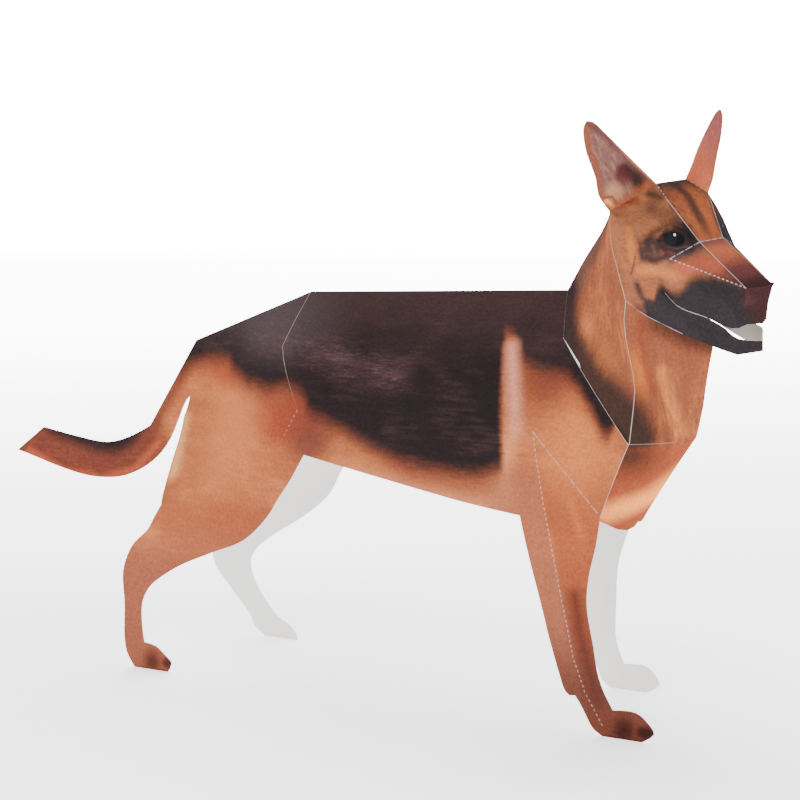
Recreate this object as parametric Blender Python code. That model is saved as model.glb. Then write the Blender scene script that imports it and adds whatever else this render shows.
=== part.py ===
"""A shepherd dog folded from one sheet of thin printed card.

The sheet is folded along the back and the top of the tail, hangs down both sides as the flanks and
legs, and closes round the neck, chest and head.  X runs forward to the nose, +Z is up, and -Y is the
dog's right side, called near here.  The ground is Z = 0.  Lengths are in millimetres up to the last
step, where the finished sheet is scaled to metres.
"""
import math

import bmesh
import bpy
import numpy as np
from mathutils import Vector
from mathutils.geometry import delaunay_2d_cdt

METRES = 0.001

# The card
CARD = 0.3
FOLD_HALF = 0.45
CUT_WIDTH = 0.4
LAP_GAP = 0.8
LAP_DEPTH = 2.5

# The back and the flanks
WITHERS_X = 78.5
WITHERS_Z = 140.0
BACK_LENGTH = 93.3
BACK_DROP = 4.0
RUMP_LENGTH = 46.7
RUMP_DROP = 19.3
FLANK_HALF = 34.0
CHEST_HALF = 26.0
FLANK_DEPTH = 62.0
BELLY_FRONT_Z = 71.5
BELLY_REAR_Z = 85.3
BELLY_FRONT_X = 74.0
BELLY_REAR_X = -1.0
CHEST_BEHIND = 55.0
TAIL_FLARE = 50.0
CROTCH_FLARE = 42.0

# The paws
FRONT_PAW_HALF = 23.0
HIND_PAW_HALF = 26.0
FAR_FRONT_PAW_BACK = 11.0
PAW_TOP_Z = 9.0
LEAN_TOP_Z = 75.0

# The neck and the head, from the centre that the head turns about
HEAD_AHEAD = 18.5
HEAD_ABOVE = 14.0
HEAD_TURN = 22.0
HEAD_TILT = 4.0
CHEEK_HALF = 14.5
BROW_HALF = 6.0
CROWN_HALF = 10.5
CROWN_BACK_HALF = 7.5
MUZZLE_HALF = 6.5
JAW_HALF = 5.0
FAR_JAW_RISE = 2.6
APEX_OUT = 2.2
MOUTH_IN = 1.5
EAR_CUP = 1.6
CHEST_FRONT_X = 121.7
CHEST_FRONT_Z = 94.4
BIB_AHEAD = 4.5
BIB_DROP = 6.0
TURN_START = 8.0
TURN_SPAN = 16.0

# How finely the sheet is divided
STEP = 7.0
CURVE_STEP = 2.2
FINE_STEP = 1.6
SLIVER = 0.005

NEAR = -1
FAR = 1
WITHERS = (WITHERS_X, WITHERS_Z)
HIP = (WITHERS_X - BACK_LENGTH, WITHERS_Z - BACK_DROP)
RUMP = (HIP[0] - RUMP_LENGTH, HIP[1] - RUMP_DROP)
CROTCH = (RUMP[0] - 3.0, RUMP[1] - 20.2)
SEAM_BACK = (HIP[0] - 3.5, HIP[1] - 17.5)
SEAM_FORE = (HIP[0] + 8.7, HIP[1] - 35.8)
HEAD_CENTRE = (WITHERS_X + HEAD_AHEAD, WITHERS_Z + HEAD_ABOVE)


def smooth(t):
    """A step from 0 to 1 with level ends."""
    t = min(max(t, 0.0), 1.0)
    return t * t * (3.0 - 2.0 * t)


def blend(a, b, t):
    return a + (b - a) * t


# Outlines in the side view

def straight(points, step=STEP):
    """Points along straight runs, none longer than step."""
    out = [points[0]]
    for start, end in zip(points, points[1:]):
        count = max(1, math.ceil(math.dist(start, end) / step))
        for i in range(1, count + 1):
            out.append(tuple(blend(a, b, i / count) for a, b in zip(start, end)))
    return out


def rounded(points, step=CURVE_STEP):
    """Points along a smooth curve through the given ones (centripetal Catmull-Rom)."""
    padded = [points[0], *points, points[-1]]
    out = [points[0]]
    for p0, p1, p2, p3 in zip(padded, padded[1:], padded[2:], padded[3:]):
        span = math.dist(p1, p2)
        before = max(math.dist(p0, p1), 1e-6) ** 0.5
        here = span ** 0.5
        after = max(math.dist(p2, p3), 1e-6) ** 0.5
        count = max(1, round(span / step))
        for i in range(1, count + 1):
            t = i / count
            point = []
            for a, b, c, d in zip(p0, p1, p2, p3):
                leave = b_slope(a, b, c, before, here)
                arrive = b_slope(b, c, d, here, after)
                point.append(hermite(b, c, leave * here, arrive * here, t))
            out.append(tuple(point))
    return out


def b_slope(a, b, c, before, after):
    """The slope at b of the curve through a, b and c."""
    return ((b - a) / before * after + (c - b) / after * before) / (before + after)


def hermite(start, end, leave, arrive, t):
    return (start * (2 * t ** 3 - 3 * t ** 2 + 1) + leave * (t ** 3 - 2 * t ** 2 + t)
            + end * (3 * t ** 2 - 2 * t ** 3) + arrive * (t ** 3 - t ** 2))


def chain(*runs):
    """One outline from runs that each start where the last one ends."""
    out = list(runs[0])
    for run in runs[1:]:
        out.extend(run[1:])
    return out


def shifted(points, dx, dz):
    return [(x + dx, z + dz) for x, z in points]


def back_line():
    """The fold along the back, from the withers to the rump and on along the tail to its tip."""
    back = straight([WITHERS, HIP, RUMP])
    root = (RUMP[0] - 20.5, RUMP[1] - 32.7)
    tail = shifted([(0, 0), (-9.5, -5.0), (-19.6, -7.9), (-34.0, -6.6), (-48.2, -4.3)], *root)
    tip = (root[0] - 60.4, root[1] - 13.8)
    return chain(back, straight([RUMP, root], 4.0), rounded(tail, 3.0), straight([tail[-1], tip], 4.0))


def tail_underside(tip):
    """The free lower edge of the tail, from its tip to the crotch."""
    cx, cz = CROTCH
    curve = shifted([(-60.3, -31.1), (-48.0, -33.6), (-38.5, -33.9), (-29.1, -32.4), (-19.7, -27.8),
                     (-12.9, -22.0), (-8.9, -16.4), (-5.0, -8.2), (-2.1, -2.1), (0, 0)], cx, cz)
    return chain(straight([tip, curve[0]], 5.0), rounded(curve, 3.0))


def near_hind_leg(belly_start):
    """Down the rear edge of the near hind leg, round its paw and up the front edge to the belly."""
    cx, cz = CROTCH
    thigh = [(cx, cz), (cx - 1.2, cz - 8.0), (-62.8, 77.0), (-60.3, 70.0), (-58.4, 62.5)]
    hock = [(-58.4, 62.5), (-62.7, 54.4), (-71.0, 46.5), (-76.3, 36.2), (-77.4, 24.3), (-78.6, 11.0),
            (-77.6, 4.8), (-74.6, 0.0)]
    toes = [(-60.6, 0.0), (-58.9, 3.3), (-61.9, 6.3), (-65.2, 8.9), (-70.2, 9.8)]
    shin = [(-70.2, 9.8), (-70.8, 15.9), (-69.7, 25.2), (-65.9, 31.4), (-60.5, 35.8), (-51.7, 41.3),
            (-38.3, 47.5), (-24.8, 53.7), (-14.8, 63.2), (-10.5, 69.6), (-5.7, 76.5)]
    return chain(straight(thigh[:2], 4.0), rounded(thigh[1:], 3.5), rounded(hock, CURVE_STEP),
                 straight([hock[-1], toes[0]], 4.0), rounded(toes, FINE_STEP),
                 rounded([*shin, belly_start], CURVE_STEP + 0.4))


def far_hind_leg(belly_start):
    """The far hind leg stands further forward, with its hock drawn in and its shank slanting."""
    cx, cz = CROTCH
    thigh = [(cx, cz), (cx - 1.2, cz - 8.0), (-62.8, 77.0), (-60.8, 68.0), (-61.4, 58.0), (-66.4, 47.0),
             (-72.0, 38.5), (-73.4, 30.5)]
    shank = [(-73.4, 30.5), (-71.8, 25.4), (-64.2, 17.0), (-55.9, 7.8), (-53.9, 3.4), (-49.2, 0.0)]
    toes = [(-35.6, 0.0), (-36.0, 2.2), (-38.6, 5.3), (-44.4, 8.8), (-53.8, 20.8), (-56.4, 28.4),
            (-54.4, 33.1), (-48.5, 38.3), (-32.7, 49.0), (-24.6, 56.9), (-19.5, 67.0), (-11.0, 77.5)]
    return chain(straight(thigh[:2], 4.0), rounded(thigh[1:], 3.5), rounded(shank, CURVE_STEP),
                 straight([shank[-1], toes[0]], 4.0), rounded([*toes, belly_start], CURVE_STEP + 0.4))


def front_leg(paw_back):
    """Down the rear edge of a front leg, round its paw and up to the bottom of the shoulder edge.

    The leg leans back by paw_back at the ground."""
    rear = [(BELLY_FRONT_X, BELLY_FRONT_Z), (77.2, 55.0), (79.5, 44.0), (82.2, 30.5), (85.8, 17.2), (87.2, 13.4),
            (88.7, 12.0), (90.6, 12.3), (92.2, 10.0), (93.9, 7.0), (96.9, 2.0), (100.0, 0.0)]
    toes = [(112.8, 0.0), (116.8, 3.2), (114.5, 6.7), (110.6, 9.4), (103.2, 9.1)]
    shin = [(103.2, 9.1), (100.4, 14.1), (98.3, 19.5), (96.6, 29.7), (94.6, 43.0), (95.4, 53.0),
            (97.6, 63.0), SHOULDER_FOOT]
    outline = chain(rounded(rear, CURVE_STEP), straight([rear[-1], toes[0]], 4.0),
                    rounded(toes, FINE_STEP), rounded(shin, CURVE_STEP + 0.4))
    return [(x - paw_back * max(0.0, 1.0 - z / LEAN_TOP_Z), z) for x, z in outline]


# Where the shoulder panel laps over the neck
BEND_FOOT = (WITHERS_X + 2.7, WITHERS_Z - 14.0)
SHOULDER_POINT = (WITHERS_X + 28.2, WITHERS_Z - 44.6)
SHOULDER_FOOT = (98.9, BELLY_FRONT_Z + 1.0)


def ridge_z(x):
    """The height of the fold along the back above a place on the ground line."""
    if x >= HIP[0]:
        return blend(WITHERS[1], HIP[1], min(max((WITHERS[0] - x) / BACK_LENGTH, 0.0), 1.0))
    return HIP[1] - RUMP_DROP * (HIP[0] - x) / RUMP_LENGTH


def half_width(x, z):
    """How far the flank stands out from the middle of the dog at a place in the side view."""
    if z > 57.0 and x < CROTCH[0] + 2.3 and (z > CROTCH[1] or x < CROTCH[0] - 2.0 - 0.27 * (CROTCH[1] - z)):
        return FOLD_HALF
    chest = smooth((x - (WITHERS_X + 26.5 - CHEST_BEHIND)) / CHEST_BEHIND)
    full = blend(FLANK_HALF, CHEST_HALF, chest)
    spread = 1.0 - (1.0 - min(1.0, max(0.0, (ridge_z(x) - z) / FLANK_DEPTH))) ** 2
    from_tail = smooth(max(0.0, x - RUMP[0] + 0.5) / TAIL_FLARE) ** 0.8
    from_crotch = smooth((CROTCH[1] + 1.5 - z) / CROTCH_FLARE)
    opening = 1.0 - (1.0 - from_tail) * (1.0 - from_crotch)
    width = FOLD_HALF + full * spread * opening
    paw = blend(HIND_PAW_HALF, FRONT_PAW_HALF, smooth((x + 10.0) / 60.0))
    lean = smooth((LEAN_TOP_Z - z) / (LEAN_TOP_Z - PAW_TOP_Z))
    return width + (paw - FOLD_HALF - full) * lean


# Building the surface

class Sheet:
    """The printed face of the folded sheet, gathered panel by panel."""

    def __init__(self):
        self.mesh = bmesh.new()

    def grid(self, rows):
        """A panel from rows of points of equal count."""
        verts = [[self.mesh.verts.new(p) for p in row] for row in rows]
        for lower, upper in zip(verts, verts[1:]):
            for a, b, c, d in zip(lower, lower[1:], upper[1:], upper):
                self.face((a, b, c, d))

    def face(self, corners):
        kept = []
        for corner in corners:
            if all((corner.co - other.co).length > 1e-4 for other in kept):
                kept.append(corner)
        if len(kept) > 2:
            self.mesh.faces.new(kept)

    def cut_panel(self, outline, place, creases=(), step=STEP):
        """A panel cut to an outline and lifted to its place, with vertices along its creases."""
        flat = [Vector(p) for p in outline]
        count = len(flat)
        edges = [(i, (i + 1) % count) for i in range(count)]
        for crease in creases:
            first = len(flat)
            flat.extend(Vector(p) for p in crease)
            edges.extend((i, i + 1) for i in range(first, len(flat) - 1))
        flat.extend(inner_points(outline, creases, step))
        points, _, faces, *_ = delaunay_2d_cdt(flat, edges, [], 0, 1e-4, False)
        verts = [self.mesh.verts.new(place(p.x, p.y)) for p in points]
        for face in faces:
            a, b, c = (points[i] for i in face)
            middle = (a + b + c) / 3.0
            if abs((b - a).cross(c - a)) > SLIVER and inside(outline, middle.x, middle.y):
                self.face([verts[i] for i in face])

    def bridge(self, points):
        """A strip between a run of points on the near side and its mirror image."""
        near = [(x, -abs(y), z) for x, y, z in points]
        far = [(x, abs(y), z) for x, y, z in points]
        self.grid([near, far])


def inner_points(outline, creases, step):
    """A lattice of points inside an outline, clear of its edge and of its creases."""
    xs = [p[0] for p in outline]
    zs = [p[1] for p in outline]
    lines = [list(outline) + [outline[0]], *creases]
    segments = [(a, b) for line in lines for a, b in zip(line, line[1:])]
    out = []
    row = 0
    z = min(zs) + step * 0.5
    while z < max(zs):
        x = min(xs) + step * (0.5 if row % 2 else 0.0)
        while x < max(xs):
            if inside(outline, x, z) and all(off_line(x, z, a, b) > step * 0.45 for a, b in segments):
                out.append(Vector((x, z)))
            x += step
        z += step * 0.87
        row += 1
    return out


def inside(outline, x, z):
    odd = False
    for (ax, az), (bx, bz) in zip(outline, [*outline[1:], outline[0]]):
        if (az > z) != (bz > z) and x < ax + (z - az) / (bz - az) * (bx - ax):
            odd = not odd
    return odd


def off_line(x, z, a, b):
    """The distance from a point to the straight run from a to b."""
    dx, dz = b[0] - a[0], b[1] - a[1]
    t = ((x - a[0]) * dx + (z - a[1]) * dz) / max(dx * dx + dz * dz, 1e-9)
    t = min(max(t, 0.0), 1.0)
    return math.hypot(x - a[0] - t * dx, z - a[1] - t * dz)


def coons(bottom, top, left, right):
    """Rows of points that fill four edges: bottom and top run left to right, the sides run up."""
    bottom, top, left, right = (np.array(edge, float) for edge in (bottom, top, left, right))
    rows = []
    for j in range(len(left)):
        v = j / (len(left) - 1)
        row = []
        for i in range(len(bottom)):
            u = i / (len(bottom) - 1)
            ruled = bottom[i] * (1 - v) + top[i] * v + left[j] * (1 - u) + right[j] * u
            corners = ((bottom[0] * (1 - u) + bottom[-1] * u) * (1 - v)
                       + (top[0] * (1 - u) + top[-1] * u) * v)
            row.append(tuple(ruled - corners))
        rows.append(row)
    return rows


def even_run(points, count):
    """The given polyline divided into count equal steps, its shape kept."""
    lengths = [0.0]
    for a, b in zip(points, points[1:]):
        lengths.append(lengths[-1] + math.dist(a, b))
    out = []
    for i in range(count + 1):
        want = lengths[-1] * i / count
        k = max(j for j in range(len(points) - 1) if lengths[j] <= want + 1e-9)
        span = lengths[k + 1] - lengths[k]
        t = (want - lengths[k]) / span
        out.append(tuple(blend(a, b, t) for a, b in zip(points[k], points[k + 1])))
    return out


def sided(points, side):
    return [(x, side * y, z) for x, y, z in points]


def on_flank(x, z, inset=0.0):
    return (x, half_width(x, z) - inset, z)


# The neck and the chest, as points with their half width

def head_point(x, y, z):
    """A point of the head from its offsets ahead of, beside and above the turning centre."""
    return (HEAD_CENTRE[0] + x, y, HEAD_CENTRE[1] + z)


NAPE = head_point(-5.2, FOLD_HALF, 11.0)
NECK_TOP = head_point(4.4, CHEEK_HALF - 1.5, 11.2)
NECK_CREASE = [head_point(11.5, CHEEK_HALF, -14.1), head_point(8.7, CHEEK_HALF, -4.9),
               head_point(6.1, CHEEK_HALF - 0.5, 2.3), NECK_TOP]
JAW_CORNER = NECK_CREASE[0]
THROAT_TOP = head_point(31.5, 0.0, -20.5)
THROAT = head_point(33.5, 0.0, -28.0)
CHEST_FRONT = (CHEST_FRONT_X, 0.0, CHEST_FRONT_Z)
BIB_FOOT = (SHOULDER_FOOT[0] + BIB_AHEAD, 0.0, BELLY_FRONT_Z - BIB_DROP)
BIB_EDGE = [(-1.5, 18.0, 1.4), (-0.4, 10.0, -0.6), (0.2, 4.0, -0.8)]
NECK_COLUMNS = 12
FRONT_COLUMNS = 8


def neck_edges():
    """The four edges of a neck side panel, shared with the panels round it."""
    bend = straight([WITHERS, BEND_FOOT], 3.6)
    lap = [(0.28, -CUT_WIDTH), (0.4, LAP_DEPTH), (0.75, LAP_DEPTH), (1.0, 0.0)]
    bottom = [on_flank(*p) for p in bend]
    along = (SHOULDER_POINT[0] - BEND_FOOT[0], SHOULDER_POINT[1] - BEND_FOOT[1])
    length = math.hypot(*along)
    for share, behind in lap:
        x = BEND_FOOT[0] + along[0] * share + behind * along[1] / length
        z = BEND_FOOT[1] + along[1] * share - behind * along[0] / length
        bottom.append(on_flank(x, z, LAP_GAP * min(1.0, share / 0.4)))
    lap_run = even_run(bottom[len(bend) - 1:], NECK_COLUMNS - len(bend) + 1)
    bottom = bottom[:len(bend)] + lap_run[1:]
    point = bottom[-1]
    crease = even_run([point, JAW_CORNER], 8)
    head = even_run(NECK_CREASE, 6)
    left = even_run([(WITHERS_X, FOLD_HALF, WITHERS_Z), NAPE], 14)
    top = even_run([NAPE, NECK_TOP], NECK_COLUMNS)
    return bottom, top, left, crease, head


def throat_run(start, front, count, roundness=1.7):
    """A run from a crease to the middle of the front, which it meets square on."""
    out = []
    for i in range(count + 1):
        t = i / count
        y = start[1] * (1.0 - t)
        ahead = 1.0 - (y / start[1]) ** roundness
        out.append((blend(start[0], front[0], ahead), y, blend(start[2], front[2], t)))
    return out


def add_neck(sheet, side):
    bottom, top, left, crease, head = neck_edges()
    right = crease + head[1:]
    sheet.grid([sided(row, side) for row in coons(bottom, top, left, right)])
    point = crease[0]
    chest_fold = throat_run(point, CHEST_FRONT, FRONT_COLUMNS)
    throat = throat_run(JAW_CORNER, THROAT_TOP, FRONT_COLUMNS)
    middle = even_run([CHEST_FRONT, THROAT, THROAT_TOP], 8)
    sheet.grid([sided(row, side) for row in coons(chest_fold, throat, crease, middle)])
    lap = [on_flank(SHOULDER_FOOT[0] - 2.0, SHOULDER_FOOT[1] - 1.0, LAP_GAP)]
    lap.append(on_flank(blend(SHOULDER_FOOT[0], SHOULDER_POINT[0], 0.6) - LAP_DEPTH,
                        blend(SHOULDER_FOOT[1], SHOULDER_POINT[1], 0.6), LAP_GAP))
    lap.append(point)
    lap = even_run(lap, 5)
    edge = [(BIB_FOOT[0] + x, y, BIB_FOOT[2] + z) for x, y, z in BIB_EDGE]
    foot = even_run([lap[0], *edge, BIB_FOOT], FRONT_COLUMNS)
    breast = even_run([BIB_FOOT, CHEST_FRONT], 5)
    sheet.grid([sided(row, side) for row in coons(foot, chest_fold, lap, breast)])


# The head

CROWN_BACK = head_point(18.6, CROWN_BACK_HALF, 21.6)
CROWN = head_point(24.8, CROWN_HALF, 17.2)
BROW = head_point(33.3, BROW_HALF, 4.2)
MUZZLE_END = head_point(49.8, MUZZLE_HALF, -8.5)
NOSE_TIP = head_point(53.6, 0.0, -8.4)
CHEEK_APEX = head_point(30.3, CHEEK_HALF + APEX_OUT, 0.3)
LIP_FRONT = head_point(51.3, 0.0, -20.0)
MOUTH_CORNER = head_point(25.1, CHEEK_HALF - MOUTH_IN, -10.5)
LIP = [MOUTH_CORNER, head_point(28.4, 11.3, -14.5), head_point(37.1, 8.5, -17.9),
       head_point(43.1, 7.0, -20.6), head_point(47.4, MUZZLE_HALF, -20.7),
       head_point(49.3, JAW_HALF, -19.6), LIP_FRONT]
JAW_TOP = [head_point(43.1, 7.0, -21.4), head_point(46.3, JAW_HALF + 0.3, -24.3), head_point(51.4, 0.0, -25.3)]
JAW_FOOT = [JAW_CORNER, head_point(18.4, 12.5, -18.8), head_point(29.3, 10.0, -23.5),
            head_point(38.8, 8.0, -26.7), head_point(45.9, JAW_HALF, -29.2), head_point(51.4, 0.0, -28.3)]
EAR_BASE = {NEAR: head_point(10.4, 20.0, 14.0), FAR: head_point(15.0, 23.0, 14.0)}
EAR_TIP = {NEAR: head_point(13.0, 31.0, 41.8), FAR: head_point(17.3, 30.0, 41.8)}


def flat(point):
    return (point[0], point[2])


def raised(point, height):
    return (point[0], point[1], point[2] + height)


def thin_plate(controls):
    """A smooth field through the given places and values, bent as little as a thin plate bends."""
    places = np.array([c[:2] for c in controls], float)
    values = np.array([c[2] for c in controls], float)

    def kernel(r):
        return np.where(r > 1e-9, r * r * np.log(np.maximum(r, 1e-9)), 0.0)

    count = len(places)
    gaps = np.linalg.norm(places[:, None] - places[None], axis=2)
    plane = np.hstack([np.ones((count, 1)), places])
    system = np.block([[kernel(gaps), plane], [plane.T, np.zeros((3, 3))]])
    weights = np.linalg.solve(system, np.concatenate([values, np.zeros(3)]))

    def field(x, z):
        r = np.hypot(places[:, 0] - x, places[:, 1] - z)
        return float(kernel(r) @ weights[:count] + weights[count] + weights[count + 1] * x
                     + weights[count + 2] * z)
    return field


def across(points, x, z):
    """The half width at a place on the plane of three points."""
    (ax, ay, az), (bx, by, bz), (cx, cy, cz) = points
    det = (bx - ax) * (cz - az) - (cx - ax) * (bz - az)
    s = ((x - ax) * (cz - az) - (cx - ax) * (z - az)) / det
    t = ((bx - ax) * (z - az) - (x - ax) * (bz - az)) / det
    return (s, t, ay + s * (by - ay) + t * (cy - ay))


def nose_arc(count):
    """The top edge of the nose, a quarter round from the end of the muzzle crease to the tip."""
    out = []
    for i in range(count + 1):
        angle = math.pi / 2 * i / count
        out.append((blend(MUZZLE_END[0], NOSE_TIP[0], math.sin(angle)),
                    MUZZLE_HALF * math.cos(angle) if i < count else 0.0,
                    blend(MUZZLE_END[2], NOSE_TIP[2], math.sin(angle))))
    return out


def lip_run():
    """The upper lip from the corner of the mouth to the front."""
    return rounded([flat(p) for p in LIP[:-1]], FINE_STEP + 0.4)


def head_edge_points():
    """The top edge of a head side, from the back of the crown to the nose tip."""
    return chain(even_run([CROWN_BACK, CROWN], 3), even_run([CROWN, BROW], 4),
                 even_run([BROW, MUZZLE_END], 5), nose_arc(5))


def ear_foot(side):
    """The run from the top of the neck to the outer end of an ear's base."""
    return even_run([NECK_TOP, EAR_BASE[side]], 4)


def add_head_side(sheet, side):
    base = EAR_BASE[side]
    top_edge = head_edge_points()
    neck = neck_edges()[4]
    front_x = blend(NOSE_TIP[0], LIP_FRONT[0], 0.5)
    nose_front = even_run([NOSE_TIP, LIP_FRONT], 4)
    lip_end = even_run([LIP[-2], LIP_FRONT], 3)
    lip = lip_run()
    slit = [(x, z - CUT_WIDTH) for x, z in lip if x < JAW_TOP[0][0]]
    jaw_front = even_run([JAW_TOP[-1], JAW_FOOT[-1]], 2)
    jaw_top = list(JAW_TOP)
    if side == FAR:
        jaw_top[-1] = raised(JAW_TOP[-1], FAR_JAW_RISE)
        jaw_top[-2] = raised(JAW_TOP[-2], FAR_JAW_RISE)
        jaw_front.insert(0, jaw_top[-1])
    jaw_edge = rounded([flat(p) for p in jaw_top], FINE_STEP)
    jaw_foot = rounded([flat(p) for p in JAW_FOOT[:-1]], CURVE_STEP)
    jaw_toe = even_run([JAW_FOOT[-2], JAW_FOOT[-1]], 3)
    ear_base = even_run([base, CROWN_BACK], 6)
    outline = chain([flat(p) for p in ear_base], [flat(p) for p in top_edge],
                    [flat(p) for p in nose_front], [flat(p) for p in reversed(lip_end)],
                    list(reversed(lip)))
    outline = chain(outline, [outline[-1], *slit[1:]], [slit[-1], *jaw_edge],
                    [flat(p) for p in jaw_front], [flat(p) for p in reversed(jaw_toe)],
                    list(reversed(jaw_foot)), [flat(p) for p in neck])
    foot = ear_foot(side)
    outline = chain(outline, [flat(p) for p in foot])[:-1]
    known = [*ear_base, *neck[::2], *top_edge[::2], *LIP, *jaw_top, *JAW_FOOT, CHEEK_APEX, NECK_TOP,
             (front_x, 0.0, blend(NOSE_TIP[2], LIP_FRONT[2], 0.5)),
             (MUZZLE_END[0], MUZZLE_HALF, blend(MUZZLE_END[2], LIP[-2][2], 0.5))]
    for share in (1 / 3, 2 / 3):
        for corner in (MUZZLE_END, BROW, CROWN):
            known.append(tuple(blend(a, b, share) for a, b in zip(CHEEK_APEX, corner)))
    field = thin_plate(unique([(x, z, y) for x, y, z in known]))
    exact = {}
    for x, y, z in [*ear_base, *top_edge, *nose_front, *lip_end, *jaw_front, *jaw_toe, *neck, *foot]:
        exact[round(x, 3), round(z, 3)] = y
    facet = (CHEEK_APEX, BROW, MUZZLE_END)

    def place(x, z):
        y = exact.get((round(x, 3), round(z, 3)))
        if y is None:
            s, t, y = across(facet, x, z)
            if min(s, t, 1.0 - s - t) < -1e-4:
                y = field(x, z)
        return (x, side * y, z)

    creases = [[flat(p) for p in even_run([CHEEK_APEX, BROW], 3)],
               [flat(p) for p in even_run([CHEEK_APEX, MUZZLE_END], 5)]]
    sheet.cut_panel(outline, place, creases, 4.5)
    add_ear(sheet, side, ear_base)


def unique(controls):
    out = []
    for control in controls:
        if all(math.dist(control[:2], other[:2]) > 0.3 for other in out):
            out.append(control)
    return out


def add_ear(sheet, side, ear_base):
    """An ear in its own plane, cupped a little, with its outline from the base round the tip."""
    start, end, tip = (np.array(p, float) for p in (ear_base[0], ear_base[-1], EAR_TIP[side]))
    width = float(np.linalg.norm(end - start))
    along = (end - start) / width
    outward = np.cross(end - start, tip - start)
    outward /= np.linalg.norm(outward)
    rise = np.cross(outward, along)
    if rise[2] < 0:
        rise = -rise
    if outward[0] > 0:
        outward = -outward
    height = float((tip - start) @ rise)
    tip_along = float((tip - start) @ along)
    hind_edge = [(0.0, 0.0), (-1.1, 0.23 * height), (0.2, 0.4 * height), (tip_along - 4.6, 0.76 * height),
                 (tip_along - 2.4, 0.965 * height), (tip_along - 0.6, height)]
    fore_edge = [(tip_along + 1.0, 0.95 * height), (blend(tip_along, width, 0.32), 0.73 * height),
                 (width - 3.4, 0.33 * height), (width, 0.0)]
    base = [(width * i / (len(ear_base) - 1), 0.0) for i in range(len(ear_base))]
    outline = chain(rounded([*hind_edge, *fore_edge], CURVE_STEP), list(reversed(base)))[:-1]

    def place(u, w):
        depth = EAR_CUP * math.sin(math.pi * min(max(u / width, 0.0), 1.0)) * smooth(w / (0.4 * height))
        x, y, z = start + along * u + rise * w + outward * depth
        return (x, side * y, z)

    sheet.cut_panel(outline, place, (), 5.0)


def add_head_top(sheet):
    """The strip over the skull and muzzle, and the back of the head with a cut behind each ear."""
    sheet.bridge(head_edge_points())
    sheet.bridge([CROWN_BACK, NAPE])
    for side in (NEAR, FAR):
        rim = even_run([NAPE, NECK_TOP], NECK_COLUMNS) + ear_foot(side)[1:-1]
        verts = [sheet.mesh.verts.new(p) for p in sided(rim, side)]
        top = sheet.mesh.verts.new(sided([CROWN_BACK], side)[0])
        for a, b in zip(verts, verts[1:]):
            sheet.face((a, b, top))


def add_flank(sheet, side):
    """One side of the body with its legs, cut in one piece with its half of the tail."""
    ridge = back_line()
    tail = tail_underside(ridge[-1])
    belly = [(BELLY_REAR_X, BELLY_REAR_Z), (BELLY_FRONT_X, BELLY_FRONT_Z)]
    hind = near_hind_leg(belly[0]) if side == NEAR else far_hind_leg(belly[0])
    front = front_leg(0.0 if side == NEAR else FAR_FRONT_PAW_BACK)
    belly[1] = front[0]
    shoulder = straight([SHOULDER_FOOT, SHOULDER_POINT, BEND_FOOT], 5.0)
    shoulder[0] = front[-1]
    bend = straight([WITHERS, BEND_FOOT], 3.6)
    outline = chain(ridge, tail, hind, straight(belly), front, shoulder, list(reversed(bend)))[:-1]
    seam = chain(straight([HIP, SEAM_BACK], 5.0), straight([SEAM_BACK, SEAM_FORE, belly[0]], 5.0))
    sheet.cut_panel(outline, lambda x, z: (x, side * half_width(x, z), z), [seam[1:-1]])


def turn_head(point):
    """Turn and tilt what lies above the neck, growing smoothly from the withers and the chest."""
    lean = math.atan2(SHOULDER_POINT[0] - WITHERS[0], WITHERS[1] - SHOULDER_POINT[1])
    above = (point.x - WITHERS[0]) * math.cos(lean) + (point.z - WITHERS[1]) * math.sin(lean)
    share = smooth((above - TURN_START) / TURN_SPAN)
    turn = math.radians(HEAD_TURN) * share
    tilt = math.radians(HEAD_TILT) * share
    ahead = point.x - HEAD_CENTRE[0]
    high = point.z - HEAD_CENTRE[1]
    wide = point.y * math.cos(tilt) - high * math.sin(tilt)
    high = high * math.cos(tilt) + point.y * math.sin(tilt)
    point.x = HEAD_CENTRE[0] + ahead * math.cos(turn) + wide * math.sin(turn)
    point.y = wide * math.cos(turn) - ahead * math.sin(turn)
    point.z = HEAD_CENTRE[1] + high


def centre_over_origin(mesh):
    """Bring the middle of the dog's length and width over the origin."""
    for axis in (0, 1):
        spread = [vert.co[axis] for vert in mesh.verts]
        middle = (min(spread) + max(spread)) / 2.0
        for vert in mesh.verts:
            vert.co[axis] -= middle


def folded_sheet():
    """The whole sheet without thickness, its printed face turned out."""
    sheet = Sheet()
    sheet.bridge([(x, FOLD_HALF, z) for x, z in back_line()])
    sheet.bridge(neck_edges()[2])
    for side in (NEAR, FAR):
        add_flank(sheet, side)
        add_neck(sheet, side)
        add_head_side(sheet, side)
    add_head_top(sheet)
    bmesh.ops.remove_doubles(sheet.mesh, verts=sheet.mesh.verts, dist=0.02)
    bmesh.ops.recalc_face_normals(sheet.mesh, faces=sheet.mesh.faces)
    top = max(sheet.mesh.faces, key=lambda f: f.normal.z * (f.calc_center_median().x > 0) * f.calc_area())
    if top.normal.z < 0:
        bmesh.ops.reverse_faces(sheet.mesh, faces=sheet.mesh.faces)
    for vert in sheet.mesh.verts:
        turn_head(vert.co)
    centre_over_origin(sheet.mesh)
    return sheet.mesh


def card_material():
    material = bpy.data.materials.new("printed_card")
    material.use_nodes = True
    shader = material.node_tree.nodes["Principled BSDF"]
    shader.inputs["Base Color"].default_value = (0.42, 0.2, 0.11, 1.0)
    shader.inputs["Roughness"].default_value = 0.55
    shader.inputs["Metallic"].default_value = 0.0
    return material


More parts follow.
